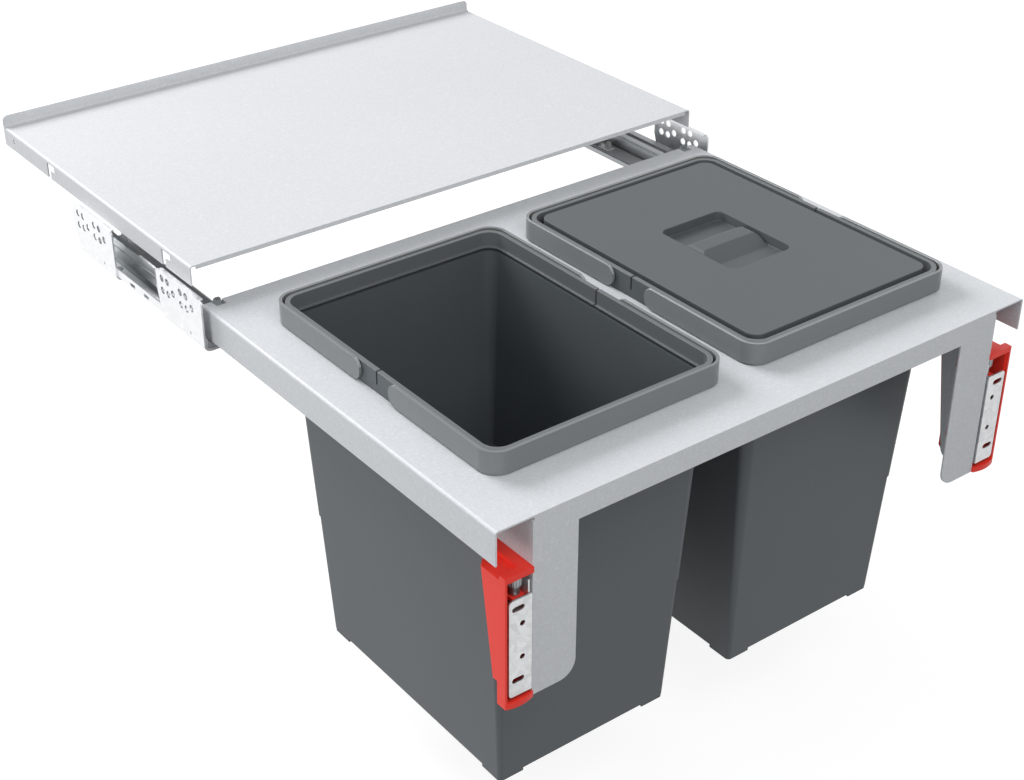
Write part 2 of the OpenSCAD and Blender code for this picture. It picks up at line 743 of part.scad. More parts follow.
// Open-fronted moulding clipped to a leg's return flange
module adjuster_housing(side)
    color(SIGNAL_RED) on_side(side) at_tray() {
        difference() {
            housing_form(0);
            intersection() {
                translate([-over, -over, 0]) housing_form(housing_wall);
                slab([0, leg_outer_x + housing_w], [-over - door_proud, housing_top_d],
                     [-housing_foot_drop + stem_floor_t, -housing_drop - housing_roof]);
            }
            slab([leg_outer_x - over, leg_outer_x + housing_w - housing_wall],
                 [-over - door_proud, -door_proud + housing_wall + seat_gap],
                 [-housing_foot_drop + stem_floor_t, -housing_drop - housing_roof]);
            translate([leg_outer_x + recess_side, recess_front, -housing_drop - recess_h])
                linear_extrude(recess_h + over) polygon([
                    [0, 0], [housing_w, 0], [housing_w, housing_top_d], [0, housing_top_d - 2 * recess_side]]);
        }
        difference() {
            intersection() {
                housing_form(housing_wall / 2);
                slab([door_inner_x + door_t + seat_gap, screw_x + wheel_r], [shelf_plate_setback, housing_top_d],
                     [-shelf_plate_drop - shelf_plate_t, -shelf_plate_drop]);
            }
            translate([screw_x, screw_y, -shelf_plate_drop - shelf_plate_t - over])
                cylinder(h = shelf_plate_t + 2 * over, r = thread_r + pin_gap);
        }
        intersection() {
            slab([leg_outer_x, leg_outer_x + housing_w], [-door_proud - ledge_lip_d, 0],
                 [-housing_foot_drop, ledge_lip_h - housing_foot_drop]);
            translate([leg_outer_x + housing_w / 2, ledge_lip_r - door_proud - ledge_lip_d, -housing_foot_drop])
                cylinder(h = ledge_lip_h, r = ledge_lip_r, $fn = 96);
        }
        for (drop = catch_slot_drops) {
            intersection() {
                housing_form(housing_wall / 2);
                slab([leg_outer_x, leg_outer_x + housing_w], clip_y, clip_z(drop));
            }
            slab([leg_outer_x - tray_t, leg_outer_x + housing_wall], clip_y, clip_z(drop));
        }
    }

// Thumbwheel and thread of the height adjustment
module adjuster_screw(side)
    color(STEEL) on_side(side) at_tray() translate([screw_x, screw_y, 0]) {
        translate([0, 0, -housing_drop - housing_roof - wheel_gap - wheel_h]) difference() {
            cylinder(h = wheel_h, r = wheel_r);
            for (i = [0 : wheel_flutes - 1]) rotate([0, 0, i * 360 / wheel_flutes])
                translate([wheel_r, 0, -over]) cylinder(h = wheel_h + 2 * over, r = flute_r, $fn = 16);
        }
        translate([0, 0, -shelf_plate_drop + wheel_gap])
            cylinder(h = shelf_plate_drop - housing_drop - housing_roof - 2 * wheel_gap - wheel_h / 2, r = neck_r);
        translate([0, 0, -thread_end_drop]) cylinder(h = thread_end_drop - shelf_plate_drop + over, r = thread_r);
    }

// Angle that the cabinet door is screwed to
module door_plate(side)
    color(ZINC_PALE) on_side(side) at_tray() difference() {
        union() {
            along_y(-door_proud, door_t)
                translate([door_inner_x + door_w / 2, -door_drop - door_h / 2]) union() {
                    rounded(door_w, door_h, door_r);
                    translate([-door_w / 2, -door_h / 2]) square([door_r, door_h]);
                }
            along_x(door_inner_x, door_t) union() {
                translate([-door_proud, -door_drop - door_h]) square([door_side_d + door_proud, door_h]);
                translate([-door_proud + door_r, -door_drop - door_r])
                    square([door_side_d - 2 * door_r, door_r + door_tab_h]);
            }
            slab([door_inner_x + door_t / 2, screw_x + nut_tab_w / 2],
                 [screw_y - nut_tab_d / 2, screw_y + nut_tab_d / 2],
                 [-nut_tab_drop - nut_tab_t, -nut_tab_drop]);
        }
        translate([screw_x, screw_y, -nut_tab_drop - nut_tab_t - over])
            cylinder(h = nut_tab_t + 2 * over, r = thread_r + pin_gap);
        for (i = [0, 1]) {
            translate([slot_x, 0, -door_drop - slot_edge - i * slot_pitch]) rotate([90, 0, 0])
                linear_extrude(2 * over + 2 * door_t, center = true) {
                    square([slot_l - slot_h, slot_h], center = true);
                    for (s = [-1, 1]) translate([s * (slot_l - slot_h) / 2, 0]) circle(slot_h / 2);
                }
            translate([hole_x, -door_proud - over, -door_drop - hole_edge - i * hole_pitch])
                rotate([-90, 0, 0]) cylinder(h = door_t + 2 * over, r = hole_r);
        }
    }

// Section of a bin's tub at a drop below the tray, drawn in by inset
module tub_slice(drop, inset)
    translate([0, 0, -drop]) linear_extrude(slice_t) rounded(
        body_w - 2 * (bin_taper * drop / bin_depth + inset), body_d - 2 * (bin_taper * drop / bin_depth + inset),
        body_r + (foot_r - body_r) * drop / bin_depth - inset / 2);

// Tapered tub of a bin, drawn in by inset, with a small step at its waist
module tub(inset, low_drop) {
    hull() {
        tub_slice(slice_t - ledge_t, inset);
        tub_slice(waist_drop, inset);
    }
    hull() {
        tub_slice(waist_drop - bin_wall, inset + waist_step);
        tub_slice(low_drop, inset + waist_step);
    }
}

module bin(side)
    color(BIN_GREY) at_tray() translate([side * bin_pitch / 2, bin_mid_y, 0]) {
        difference() {
            union() {
                tub(0, bin_depth - foot_h);
                linear_extrude(collar_h) rounded(collar_w, collar_d, collar_r);
            }
            tub(bin_wall, bin_depth - foot_h - bin_wall);
            translate([0, 0, ledge_t]) linear_extrude(collar_h)
                rounded(collar_w - 2 * collar_t, collar_d - 2 * collar_t, collar_r - collar_t);
            slab([-collar_w, collar_w], [-slit_w / 2, slit_w / 2], [collar_h - slit_h, collar_h + over]);
        }
        for (sx = [-1, 1], sy = [-1, 1])
            translate([sx * (collar_w / 2 - collar_t / 2), sy * peg_dy, peg_z]) rotate([0, sx * 90, 0])
                cylinder(h = collar_t / 2 + handle_clear + peg_reach - pin_gap, r = peg_r);
        translate([0, 0, -bin_depth]) linear_extrude(foot_h) intersection() {
            rounded(foot_span_w, foot_span_d, foot_r);
            for (sx = [-1, 1], sy = [-1, 1])
                translate([sx * foot_span_w / 2, sy * foot_span_d / 2]) square(2 * foot_w, center = true);
        }
    }

// Keeps the front or the rear half of what is centred on a bin's middle
module half(end, gap)
    intersection() {
        children();
        translate([0, end * (rim_d / 2 + gap / 2), 0])
            cube([2 * rim_w, rim_d, 4 * rim_h], center = true);
    }

// Half of the frame that clamps the bag on a bin's mouth
module bag_ring(side, end)
    color(RIM_GREY) at_tray() translate([side * bin_pitch / 2, bin_mid_y, 0]) half(end, slit_w) {
        translate([0, 0, ring_foot_z]) linear_extrude(ring_top_z - ring_foot_z) difference() {
            rounded(ring_w, ring_d, ring_r);
            rounded(mouth_w, mouth_d, ring_r - ring_t);
        }
        translate([0, 0, ring_foot_z]) linear_extrude(ring_shelf_t) difference() {
            rounded(ring_w, ring_d, ring_r);
            rounded(mouth_w - 2 * ring_shelf_w, mouth_d - 2 * ring_shelf_w, ring_r - ring_t - ring_shelf_w);
        }
        translate([0, 0, collar_h]) linear_extrude(ring_top_t) difference() {
            rounded(collar_w, collar_d, collar_r);
            rounded(mouth_w, mouth_d, ring_r - ring_t);
        }
    }

// Side outline of a handle for the front half, with its end rounded about the peg
module handle_side()
    difference() {
        translate([-rim_d, handle_lift]) square([rim_d - handle_gap / 2, rim_h - handle_lift]);
        translate([-handle_gap / 2 - handle_end_r, rim_h - handle_end_r]) difference() {
            square(handle_end_r + over);
            circle(handle_end_r);
        }
        translate([-handle_gap / 2 - handle_end_r, handle_lift + handle_end_r]) difference() {
            translate([0, -handle_end_r - over]) square(handle_end_r + over);
            circle(handle_end_r);
        }
    }

module handle(side, end)
    color(RIM_GREY) at_tray() translate([side * bin_pitch / 2, bin_mid_y, 0])
        mirror([0, end == REAR ? 1 : 0, 0]) difference() {
            intersection() {
                linear_extrude(rim_h) difference() {
                    rounded(rim_w, rim_d, rim_r);
                    rounded(rim_w - 2 * handle_t, rim_d - 2 * handle_t, rim_r - handle_t);
                }
                along_x(-rim_w, 2 * rim_w) handle_side();
            }
            translate([-collar_w / 2 - handle_clear - peg_reach, -peg_dy, peg_z]) rotate([0, 90, 0])
                cylinder(h = collar_w + 2 * (handle_clear + peg_reach), r = peg_r + pin_gap);
        }

// Lid for the right-hand bin: a raised plate on a seating flange, with a grip bar in a pocket
module lid()
    color(LID_GREY) at_tray() translate([bin_pitch / 2, bin_mid_y, 0]) {
        difference() {
            union() {
                translate([0, 0, lid_seat_z]) linear_extrude(lid_t)
                    rounded(mouth_w - 2 * seat_gap, mouth_d - 2 * seat_gap, ring_r - ring_t - seat_gap);
                translate([0, 0, lid_seat_z]) linear_extrude(lid_top_z - lid_seat_z)
                    rounded(lid_w, lid_d, lid_r);
            }
            translate([0, 0, lid_seat_z - over]) linear_extrude(lid_top_z - lid_t - lid_seat_z + over)
                rounded(lid_w - 2 * lid_t, lid_d - 2 * lid_t, lid_r - lid_t);
            translate([0, pocket_dy, lid_top_z - pocket_h]) linear_extrude(pocket_h + over)
                rounded(pocket_w, pocket_d, pocket_r);
        }
        translate([0, pocket_dy, lid_top_z - pocket_h - lid_t]) difference() {
            linear_extrude(pocket_h + lid_t) rounded(pocket_w + 2 * lid_t, pocket_d + 2 * lid_t, pocket_r + lid_t);
            translate([0, 0, lid_t]) linear_extrude(pocket_h + over) rounded(pocket_w, pocket_d, pocket_r);
        }
        translate([0, pocket_dy + grip_dy, lid_top_z - pocket_h - lid_t / 2]) intersection() {
            along_x(-grip_l / 2, grip_l) trapezoid(grip_foot_d, grip_top_d, pocket_h + lid_t / 2);
            along_y(-pocket_d / 2, pocket_d) translate([0, pocket_h + lid_t / 2])
                crown(grip_l, pocket_h + lid_t / 2, grip_end_r);
        }
    }

// Symmetric trapezoid that stands on the origin
module trapezoid(foot, top, h)
    polygon([[-foot / 2, 0], [foot / 2, 0], [top / 2, h], [-top / 2, h]]);

shelf_cover();
mount_plate(LEFT, front_plate_y);  // mount_plate_front_left
mount_plate(RIGHT, front_plate_y);  // mount_plate_front_right
mount_plate(LEFT, rear_plate_y);  // mount_plate_rear_left
mount_plate(RIGHT, rear_plate_y);  // mount_plate_rear_right
fixed_rail(LEFT);  // fixed_rail_left
fixed_rail(RIGHT);  // fixed_rail_right
plate_rivets(LEFT);  // plate_rivets_left
plate_rivets(RIGHT);  // plate_rivets_right
damper_housing(LEFT);  // damper_housing_left
damper_housing(RIGHT);  // damper_housing_right
damper_catch(LEFT);  // damper_catch_left
damper_catch(RIGHT);  // damper_catch_right
middle_rail(LEFT);  // middle_rail_left
middle_rail(RIGHT);  // middle_rail_right
inner_cage(LEFT);  // inner_cage_left
inner_cage(RIGHT);  // inner_cage_right
outer_cage(LEFT);  // outer_cage_left
outer_cage(RIGHT);  // outer_cage_right
inner_balls(LEFT);  // inner_balls_left
inner_balls(RIGHT);  // inner_balls_right
outer_balls(LEFT);  // outer_balls_left
outer_balls(RIGHT);  // outer_balls_right
drawer_rail(LEFT);  // drawer_rail_left
drawer_rail(RIGHT);  // drawer_rail_right
tray_frame();
adjuster_housing(LEFT);  // adjuster_housing_left
adjuster_housing(RIGHT);  // adjuster_housing_right
adjuster_screw(LEFT);  // adjuster_screw_left
adjuster_screw(RIGHT);  // adjuster_screw_right
door_plate(LEFT);  // door_plate_left
door_plate(RIGHT);  // door_plate_right
bin(LEFT);  // bin_left
bin(RIGHT);  // bin_right
bag_ring(LEFT, FRONT);  // bag_ring_left_front
bag_ring(LEFT, REAR);  // bag_ring_left_rear
bag_ring(RIGHT, FRONT);  // bag_ring_right_front
bag_ring(RIGHT, REAR);  // bag_ring_right_rear
handle(LEFT, FRONT);  // handle_left_front
handle(LEFT, REAR);  // handle_left_rear
handle(RIGHT, FRONT);  // handle_right_front
handle(RIGHT, REAR);  // handle_right_rear
lid();
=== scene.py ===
# Two-bin pull-out waste unit, drawn out of its cabinet and seen from the front left.
import json
import math

import bpy
from mathutils import Matrix, Vector

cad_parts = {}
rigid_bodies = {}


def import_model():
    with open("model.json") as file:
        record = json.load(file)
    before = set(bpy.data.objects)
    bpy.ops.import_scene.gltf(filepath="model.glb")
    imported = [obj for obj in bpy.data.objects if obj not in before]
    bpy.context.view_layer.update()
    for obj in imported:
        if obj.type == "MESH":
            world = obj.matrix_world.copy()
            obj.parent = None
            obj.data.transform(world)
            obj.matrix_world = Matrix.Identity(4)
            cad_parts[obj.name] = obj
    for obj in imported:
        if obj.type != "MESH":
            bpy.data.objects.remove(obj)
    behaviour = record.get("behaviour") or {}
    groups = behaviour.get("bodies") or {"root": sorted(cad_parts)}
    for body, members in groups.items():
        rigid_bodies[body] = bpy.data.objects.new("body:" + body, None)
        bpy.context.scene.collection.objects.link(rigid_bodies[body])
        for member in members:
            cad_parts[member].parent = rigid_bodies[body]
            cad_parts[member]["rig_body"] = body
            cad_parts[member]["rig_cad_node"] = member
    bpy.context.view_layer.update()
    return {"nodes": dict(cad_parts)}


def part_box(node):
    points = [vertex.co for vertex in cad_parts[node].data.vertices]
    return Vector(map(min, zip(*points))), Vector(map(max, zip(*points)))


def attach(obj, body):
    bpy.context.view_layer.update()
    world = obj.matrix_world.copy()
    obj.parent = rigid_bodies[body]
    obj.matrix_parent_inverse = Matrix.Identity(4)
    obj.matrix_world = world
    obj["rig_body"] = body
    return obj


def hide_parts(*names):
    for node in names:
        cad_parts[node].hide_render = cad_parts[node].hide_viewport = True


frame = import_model()
MM = 0.001


# The picture: a long lens, a little above the tray and well to its left, as the catalogue photograph
# was taken, over a white studio floor. One large soft box lights the tops from behind and above, and
# weaker ones at the left, the right and the front open up the sides.
CAMERA_AT = Vector((-851.8, -1372.5, 664.1)) * MM
CAMERA_YAW = math.radians(36.61)
CAMERA_PITCH = math.radians(31.64)
CAMERA_ROLL = math.radians(-0.38)
PHOTO_WIDTH_PX = 1024
PHOTO_HEIGHT_PX = 780
FOCAL_PX = 1774
CENTRE_PX = (490.2, 405.3)
SENSOR_MM = 36


def look_matrix():
    """The camera's axes in the part's frame, from its yaw, pitch and roll."""
    forward = Vector((
        math.sin(CAMERA_YAW) * math.cos(CAMERA_PITCH),
        math.cos(CAMERA_YAW) * math.cos(CAMERA_PITCH),
        -math.sin(CAMERA_PITCH),
    ))
    level = Vector((math.cos(CAMERA_YAW), -math.sin(CAMERA_YAW), 0))
    upright = level.cross(forward)
    right = level * math.cos(CAMERA_ROLL) + upright * math.sin(CAMERA_ROLL)
    up = upright * math.cos(CAMERA_ROLL) - level * math.sin(CAMERA_ROLL)
    axes = Matrix((right, up, -forward)).transposed().to_4x4()
    return Matrix.Translation(CAMERA_AT) @ axes


camera_data = bpy.data.cameras.new("camera")
camera_data.sensor_width = SENSOR_MM
camera_data.lens = FOCAL_PX / PHOTO_WIDTH_PX * SENSOR_MM
camera_data.shift_x = (PHOTO_WIDTH_PX / 2 - CENTRE_PX[0]) / PHOTO_WIDTH_PX
camera_data.shift_y = (CENTRE_PX[1] - PHOTO_HEIGHT_PX / 2) / PHOTO_WIDTH_PX
camera = bpy.data.objects.new("camera", camera_data)
bpy.context.scene.collection.objects.link(camera)
camera.matrix_world = look_matrix()
bpy.context.scene.camera = camera
bpy.context.scene.view_settings.view_transform = "Standard"

LIT_POINT = Vector((0, -0.3, -0.1))


def soft_box(name, place, width, watts):
    """A square lamp that faces the middle of the unit."""
    data = bpy.data.lights.new(name, "AREA")
    data.shape = "SQUARE"
    data.size = width
    data.energy = watts
    box = bpy.data.objects.new(name, data)
    bpy.context.scene.collection.objects.link(box)
    box.location = place
    box.rotation_euler = (LIT_POINT - Vector(place)).to_track_quat("-Z", "Y").to_euler()


soft_box("key", (-0.8, 2.1, 1.75), width=1.6, watts=82)
soft_box("left", (-2.2, -0.4, 0.3), width=1.3, watts=14)
soft_box("right", (2.2, 0.2, 0.6), width=1.3, watts=5)
soft_box("fill", (-0.3, -1.75, 1.25), width=1.2, watts=16)


class Wire:
    """One output socket of a finish. Arithmetic on it adds Math nodes."""

    def __init__(self, finish, socket):
        self.finish = finish
        self.socket = socket

    def math(self, operation, first, second):
        settings = {"operation": operation}
        return self.finish.node("ShaderNodeMath", settings, {0: first, 1: second})["Value"]

    def __add__(self, other):
        return self.math("ADD", self, other)

    def __radd__(self, other):
        return self.math("ADD", other, self)

    def __sub__(self, other):
        return self.math("SUBTRACT", self, other)

    def __rsub__(self, other):
        return self.math("SUBTRACT", other, self)

    def __mul__(self, other):
        return self.math("MULTIPLY", self, other)

    def __rmul__(self, other):
        return self.math("MULTIPLY", other, self)

    def __pow__(self, other):
        return self.math("POWER", self, other)

    def __rpow__(self, other):
        return self.math("POWER", other, self)

    def above(self, other):
        return self.math("GREATER_THAN", self, other)

    def size(self):
        return self.math("ABSOLUTE", self, 0.0)


class Outputs:
    """The outputs of one node, asked for by name."""

    def __init__(self, finish, node):
        self.finish = finish
        self.node = node

    def __getitem__(self, name):
        return Wire(self.finish, self.node.outputs[name])


class Finish:
    """A material with one principled shader, its other nodes added by expressions."""

    def __init__(self, name, **fixed):
        self.material = bpy.data.materials.new(name)
        self.material.use_nodes = True
        self.tree = self.material.node_tree
        self.shader = self.tree.nodes["Principled BSDF"]
        for socket, value in fixed.items():
            self.shader.inputs[socket.replace("_", " ")].default_value = value
        self.place = self.node("ShaderNodeTexCoord")["Object"]

    def node(self, kind, settings=None, values=None):
        """Adds a node: its settings first, then what its sockets hold or are fed by."""
        added = self.tree.nodes.new(kind)
        for key, value in (settings or {}).items():
            setattr(added, key, value)
        for key, value in (values or {}).items():
            if isinstance(value, Wire):
                self.tree.links.new(value.socket, added.inputs[key])
            else:
                added.inputs[key].default_value = value
        return Outputs(self, added)

    def set(self, socket, wire):
        self.tree.links.new(wire.socket, self.shader.inputs[socket])

    def noise(self, scale, detail=2.0, rough=0.5, where=None):
        return self.node("ShaderNodeTexNoise", None, {
            "Vector": where or self.place, "Scale": scale, "Detail": detail, "Roughness": rough})["Fac"]

    def rolling_lines(self, across, along):
        """Fine lines along the unit, as rolling leaves them."""
        drawn_out = self.node("ShaderNodeMapping", {"vector_type": "POINT"}, {
            "Vector": self.place, "Scale": (across, along, across)})["Vector"]
        return self.noise(1.0, detail=4, rough=0.6, where=drawn_out)

    def cells(self, scale, channel):
        """Small patches, each with one value of its own."""
        patches = self.node("ShaderNodeTexVoronoi", None, {"Vector": self.place, "Scale": scale})["Color"]
        return self.node("ShaderNodeSeparateColor", None, {"Color": patches})[channel]

    def axis(self, vector, name):
        return self.node("ShaderNodeSeparateXYZ", None, {"Vector": vector})[name]

    def blend(self, share, first, second):
        """A mix of two colours, each of them fixed or a wire."""
        ends = [end if isinstance(end, Wire) else (*end, 1) for end in (first, second)]
        return self.node("ShaderNodeMix", {"data_type": "RGBA"}, {
            "Factor": share, "A": ends[0], "B": ends[1]})["Result"]

    def bump(self, height, depth):
        self.set("Normal", self.node("ShaderNodeBump", None, {
            "Height": height, "Distance": depth, "Strength": 1.0})["Normal"])


def coat(thing, finish):
    """Gives an object one finish all over."""
    thing.data.materials.clear()
    thing.data.materials.append(finish.material)


FLOOR_Z = -450 * MM
FLOOR_HALF = 6.0
FLOOR_IN_LIGHT = (0.22, 0.22, 0.22)
FLOOR_IN_VIEW = (0.32, 0.32, 0.32)
BLACK = (0, 0, 0)
WHITE = (1, 1, 1)
GLOW_NEAR, GLOW_NEAR_AT = 0.8, 0.9
GLOW_FAR, GLOW_FAR_AT = 1.0, 3.0
SKY_IN_LIGHT = 0.35
SKY_IN_VIEW = 1.0


def floor_finish():
    """White to the camera and whiter further out, but still darkened by what stands over it."""
    finish = Finish("floor_white", Roughness=0.9, Specular_IOR_Level=0.0, Emission_Strength=1.0)
    out = finish.node("ShaderNodeVectorMath", {"operation": "LENGTH"}, {"Vector": finish.place})["Value"]
    fade = finish.node("ShaderNodeMapRange", None, {
        "Value": out, "From Min": GLOW_NEAR_AT, "From Max": GLOW_FAR_AT,
        "To Min": GLOW_NEAR, "To Max": GLOW_FAR})["Result"]
    rays = finish.node("ShaderNodeLightPath")
    seen = rays["Is Camera Ray"] + rays["Is Glossy Ray"]
    finish.set("Base Color", finish.blend(seen, FLOOR_IN_LIGHT, FLOOR_IN_VIEW))
    finish.set("Emission Color", finish.blend(seen * fade, BLACK, WHITE))
    return finish


bpy.ops.mesh.primitive_plane_add(size=2 * FLOOR_HALF, location=(0, 0, FLOOR_Z))
floor = bpy.context.object
floor.name = "floor"
coat(floor, floor_finish())

world = bpy.data.worlds.new("studio")
bpy.context.scene.world = world
world.use_nodes = True
sky = world.node_tree
rays = sky.nodes.new("ShaderNodeLightPath")
seen = sky.nodes.new("ShaderNodeMath")
seen.operation = "MAXIMUM"
sky.links.new(rays.outputs["Is Camera Ray"], seen.inputs[0])
sky.links.new(rays.outputs["Is Glossy Ray"], seen.inputs[1])
level = sky.nodes.new("ShaderNodeMapRange")
level.inputs["To Min"].default_value = SKY_IN_LIGHT
level.inputs["To Max"].default_value = SKY_IN_VIEW
sky.links.new(seen.outputs["Value"], level.inputs["Value"])
sky.links.new(level.outputs["Result"], sky.nodes["Background"].inputs["Strength"])
sky.nodes["Background"].inputs["Color"].default_value = (*WHITE, 1)


# The wall plates and runners are pressed and rolled from galvanised strip, riveted together in pairs.
# Their cut edges are eased a little, as tumbling leaves them, and the press leaves three shallow marks
# along the fold of each wall plate.
SIDES = ("left", "right")
ENDS = ("front", "rear")
OUTWARD = {"left": -1, "right": 1}
MERGE_WITHIN = 0.002 * MM
FLAT_WITHIN = math.radians(0.5)


def cut_with(piece, cutters):
    """Takes a group of small closed forms out of a piece."""
    bpy.ops.object.select_all(action="DESELECT")
    for cutter in cutters:
        cutter.select_set(True)
    bpy.context.view_layer.objects.active = cutters[0]
    bpy.ops.object.join()
    tool = bpy.context.object
    opening = piece.modifiers.new("cut", "BOOLEAN")
    opening.operation = "DIFFERENCE"
    opening.solver = "EXACT"
    opening.object = tool
    bpy.context.view_layer.objects.active = piece
    bpy.ops.object.modifier_apply(modifier=opening.name)
    bpy.data.objects.remove(tool)


def eased(node, finish, edge, segments=2, corner=38, cutters=None, reshape=None):
    """A copy of a solid of the part that stands for it, with its edges rounded where they turn sharply."""
    solid = frame["nodes"][node]
    bpy.ops.object.select_all(action="DESELECT")
    piece = solid.copy()
    piece.data = solid.data.copy()
    piece.parent = None
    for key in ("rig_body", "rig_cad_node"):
        del piece[key]
    piece.name = node + "_eased"
    bpy.context.scene.collection.objects.link(piece)
    piece.matrix_world = Matrix.Identity(4)
    bpy.context.view_layer.objects.active = piece
    piece.select_set(True)
    bpy.ops.object.mode_set(mode="EDIT")
    bpy.ops.mesh.select_all(action="SELECT")
    bpy.ops.mesh.customdata_custom_splitnormals_clear()
    bpy.ops.mesh.remove_doubles(threshold=MERGE_WITHIN)
    bpy.ops.mesh.dissolve_limited(angle_limit=FLAT_WITHIN)
    bpy.ops.object.mode_set(mode="OBJECT")
    if cutters:
        cut_with(piece, cutters)
    rounding = piece.modifiers.new("edges", "BEVEL")
    rounding.width = edge
    rounding.segments = segments
    rounding.limit_method = "ANGLE"
    rounding.angle_limit = math.radians(corner)
    rounding.use_clamp_overlap = True
    bpy.ops.object.modifier_apply(modifier=rounding.name)
    bpy.ops.object.shade_smooth_by_angle(angle=math.radians(corner))
    flats = piece.modifiers.new("flats", "WEIGHTED_NORMAL")
    flats.keep_sharp = True
    bpy.ops.object.modifier_apply(modifier=flats.name)
    if reshape:
        reshape(piece)
    coat(piece, finish)
    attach(piece, solid["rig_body"])
    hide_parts(node)


STRIP_METALLIC = 0.85
SPANGLE_SCALE = 260
SPANGLE_SHARE = 0.5
ZINC_CLOUD_SCALE = 34
ZINC_GRAIN_SCALE = 900
ZINC_GRAIN = 0.02 * MM
ZINC_ROUGH, ZINC_ROUGH_SPREAD = 0.32, 0.12


def galvanised_finish(name, deep, light):
    """Dull zinc with a faint spangle."""
    finish = Finish(name, Metallic=STRIP_METALLIC)
    spangle = finish.cells(SPANGLE_SCALE, "Red")
    cloud = finish.noise(ZINC_CLOUD_SCALE, detail=3)
    tone = spangle * SPANGLE_SHARE + cloud * (1 - SPANGLE_SHARE)
    finish.set("Base Color", finish.blend(tone, deep, light))
    finish.set("Roughness", ZINC_ROUGH + spangle * ZINC_ROUGH_SPREAD)
    finish.bump(finish.noise(ZINC_GRAIN_SCALE), ZINC_GRAIN)
    return finish


ZINC_DEEP = (0.72, 0.735, 0.75)
ZINC_LIGHT = (0.84, 0.85, 0.86)
ROLLED_CLOUD_SCALE = 22
ROLLED_LINE_SHARE = 0.5
PLATED_LINE_SHARE = 0.4
ROLLED_ROUGH, ROLLED_ROUGH_SPREAD = 0.26, 0.16
ROLLED_DEPTH = 0.015 * MM


def rolled_finish(name, deep, light, painted_shade_within=None):
    """Rail steel with the lines of rolling along it, its colour darkened as painted shade; where a width is
    given, it shows its pale zinc outside that width.
    """
    finish = Finish(name, Metallic=STRIP_METALLIC)
    lines = finish.rolling_lines(across=900, along=6)
    cloud = finish.noise(ROLLED_CLOUD_SCALE, detail=3)
    steel_tone = lines * ROLLED_LINE_SHARE + cloud * (1 - ROLLED_LINE_SHARE)
    steel = finish.blend(steel_tone, deep, light)
    # Painted shade: inward of the given width the rail is painted dark steel; outside it, its own zinc
    # shows.
    if painted_shade_within is not None:
        zinc_tone = lines * PLATED_LINE_SHARE + cloud * (1 - PLATED_LINE_SHARE)
        zinc = finish.blend(zinc_tone, ZINC_DEEP, ZINC_LIGHT)
        zinc_outside_shade = finish.axis(finish.place, "X").size().above(painted_shade_within)
        steel = finish.blend(zinc_outside_shade, steel, zinc)
    finish.set("Base Color", steel)
    finish.set("Roughness", ROLLED_ROUGH + lines * ROLLED_ROUGH_SPREAD)
    finish.bump(lines, ROLLED_DEPTH)
    return finish


MARK_Z = -59.5 * MM
MARK_R = 1.7 * MM
MARK_OUT = 0.9 * MM
MARK_SHARES = (0.14, 0.5, 0.86)


def press_marks(node, outward):
    """Balls for the marks of the press, which only just dip into the plate's outer face."""
    low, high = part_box(node)
    face_x = high[0] if outward > 0 else low[0]
    marks = []
    for share in MARK_SHARES:
        bpy.ops.mesh.primitive_ico_sphere_add(
            subdivisions=3, radius=MARK_R,
            location=(face_x + outward * MARK_OUT, low[1] + share * (high[1] - low[1]), MARK_Z))
        marks.append(bpy.context.object)
    return marks


WALL_PLATE_INNER_X = 266 * MM
wall_zinc = galvanised_finish("wall_zinc", ZINC_DEEP, ZINC_LIGHT)
# The runners are given darker colours than the wall plates' zinc, as painted shade for the shade under the
# shelf.
fixed_steel = rolled_finish(
    "fixed_rail_steel", (0.28, 0.295, 0.30), (0.42, 0.44, 0.45), painted_shade_within=WALL_PLATE_INNER_X)
rail_steel = rolled_finish("rail_steel", (0.27, 0.285, 0.295), (0.42, 0.44, 0.45))
for side in SIDES:
    for end in ENDS:
        plate = f"mount_plate_{end}_{side}"
        marks = press_marks(plate, OUTWARD[side])
        eased(plate, wall_zinc, edge=0.3 * MM, cutters=marks)
    eased(f"fixed_rail_{side}", fixed_steel, edge=0.25 * MM)
    for rail in ("middle", "drawer"):
        eased(f"{rail}_rail_{side}", rail_steel, edge=0.25 * MM)


# Inside the runners, hardened steel balls roll in thin brass cages, which keep them apart. Rivets of
# the rails' own steel hold each fixed rail to the feet of its wall plates.
BALL_DEEP = (0.66, 0.67, 0.69)
BALL_LIGHT = (0.82, 0.83, 0.85)
BALL_ROUGH, BALL_ROUGH_SPREAD = 0.12, 0.1
GREASE_SCALE = 700
BRASS_DEEP = (0.55, 0.43, 0.22)
BRASS_LIGHT = (0.74, 0.61, 0.36)
BRASS_ROUGH, BRASS_ROUGH_SPREAD = 0.28, 0.15


def polished_finish():
    """Hardened steel, ground and a little cloudy with grease."""
    finish = Finish("ball_steel", Metallic=1.0)
    cloud = finish.noise(GREASE_SCALE)
    finish.set("Base Color", finish.blend(cloud, BALL_DEEP, BALL_LIGHT))
    finish.set("Roughness", BALL_ROUGH + cloud * BALL_ROUGH_SPREAD)
    return finish


def brass_finish():
    """Rolled brass strip."""
    finish = Finish("cage_brass", Metallic=1.0)
    lines = finish.rolling_lines(across=800, along=12)
    finish.set("Base Color", finish.blend(lines, BRASS_DEEP, BRASS_LIGHT))
    finish.set("Roughness", BRASS_ROUGH + lines * BRASS_ROUGH_SPREAD)
    return finish


polished = polished_finish()
brass = brass_finish()
for side in SIDES:
    coat(frame["nodes"][f"plate_rivets_{side}"], rail_steel)
    for row in ("inner", "outer"):
        coat(frame["nodes"][f"{row}_balls_{side}"], polished)
        coat(frame["nodes"][f"{row}_cage_{side}"], brass)


